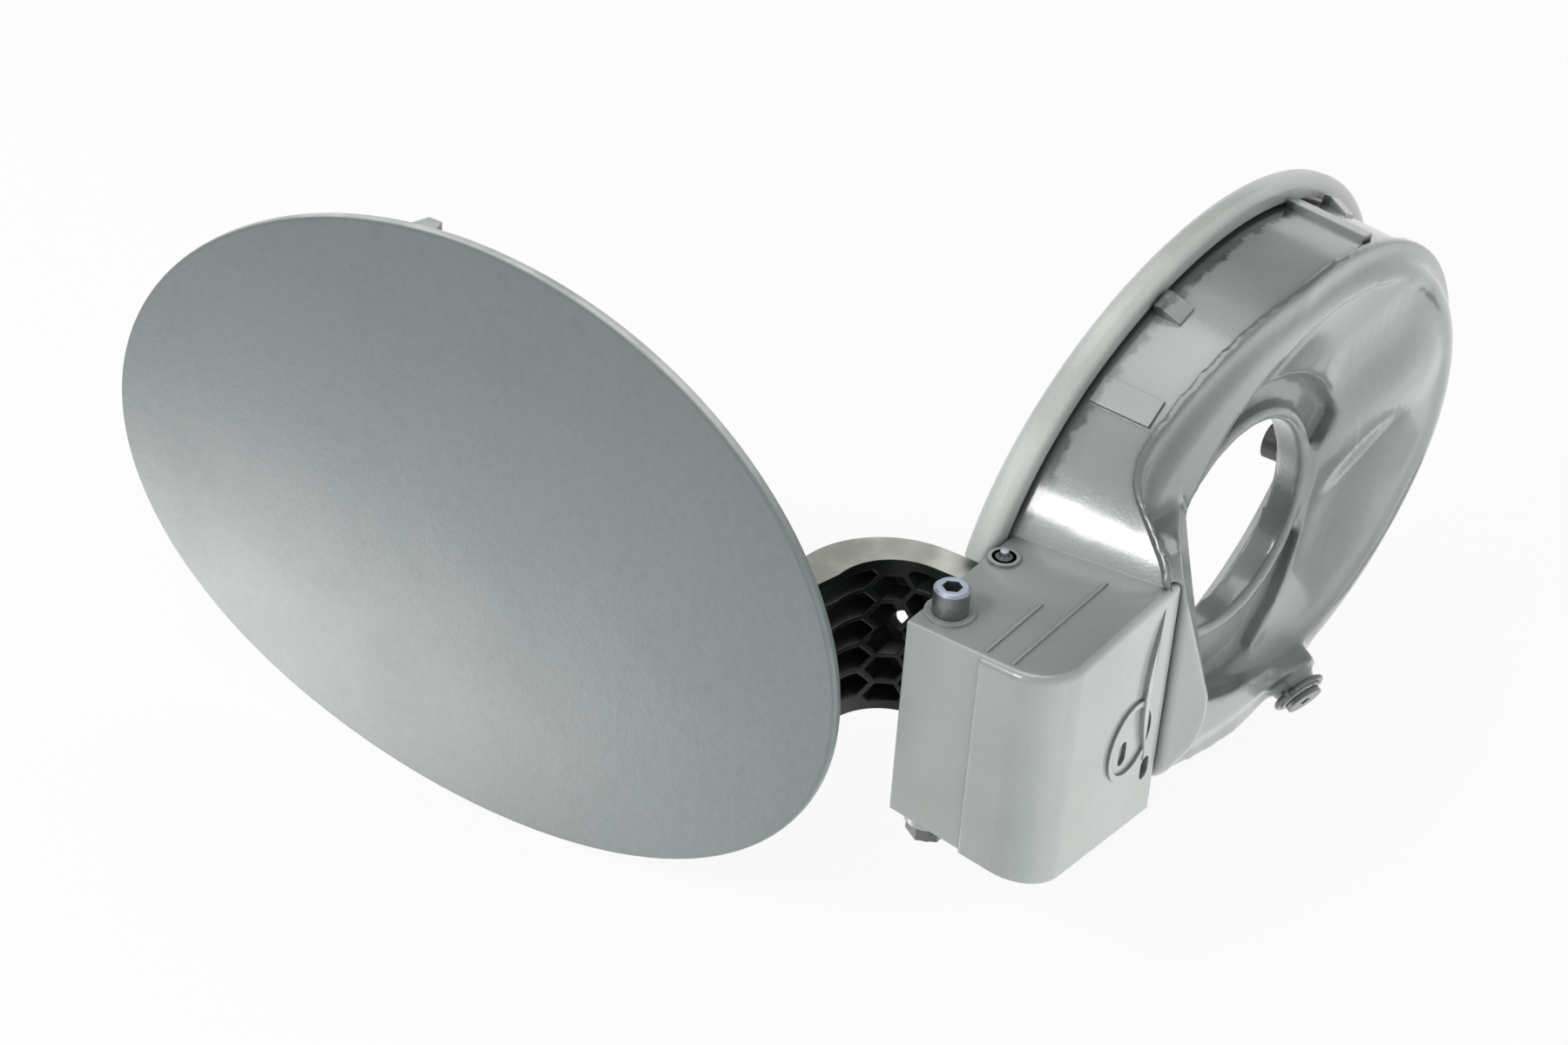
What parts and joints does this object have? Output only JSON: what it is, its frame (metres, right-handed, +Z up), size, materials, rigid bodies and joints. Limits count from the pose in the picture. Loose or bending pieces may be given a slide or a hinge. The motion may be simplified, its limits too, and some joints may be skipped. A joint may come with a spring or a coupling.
{
  "type": "car fuel door",
  "caption": "Oval fuel flap with its filler pocket: crowned door on a gooseneck arm, hinge box, rim seal, rubber boot with filler collar and drain spout, shown open.",
  "frame": {"origin": "centre of the pocket's rim, on the foremost line of its crowned lip", "axes": "+X towards the hinge, +Y into the car, +Z up along the hinge axis"},
  "size_m": [0.1992, 0.2095, 0.1274],
  "materials": {
    "frame_plastic": "glossy grey polypropylene",
    "seal_rubber": "satin grey soft plastic",
    "boot_rubber": "glossy grey rubber",
    "black_rubber": "matte black rubber",
    "door_paint": "matte grey primer on plastic",
    "inner_plastic": "grained dark grey plastic",
    "arm_plastic": "black glass-filled nylon",
    "bearing_plastic": "natural acetal",
    "zinc_steel": "zinc plated steel"
  },
  "bodies": {
    "pocket": {"pocket_frame": "frame_plastic", "rim_seal": "seal_rubber", "rear_boot": "boot_rubber", "drain_valve": "black_rubber", "drain_clip": "zinc_steel", "hinge_screw": "zinc_steel", "hinge_sleeve": "zinc_steel", "hinge_nut": "zinc_steel", "toggle_spring": "zinc_steel", "spring_retainer": "zinc_steel", "door_buffers": "black_rubber", "lock_grommet": "black_rubber"},
    "door": {"door_panel": "door_paint", "inner_panel": "inner_plastic", "hinge_arm": "arm_plastic", "upper_bush": "bearing_plastic", "lower_bush": "bearing_plastic", "arm_screws": "zinc_steel", "panel_rivets": "zinc_steel", "lock_catch": "inner_plastic"}
  },
  "joints": [
    {"name": "door_swing", "type": "hinge", "parent": "pocket", "child": "door", "pos_m": [0.0965, 0.0105, 0], "axis": [0, 0, 1], "range_deg": [-92, 0], "deforming": ["toggle_spring"]}
  ]
}
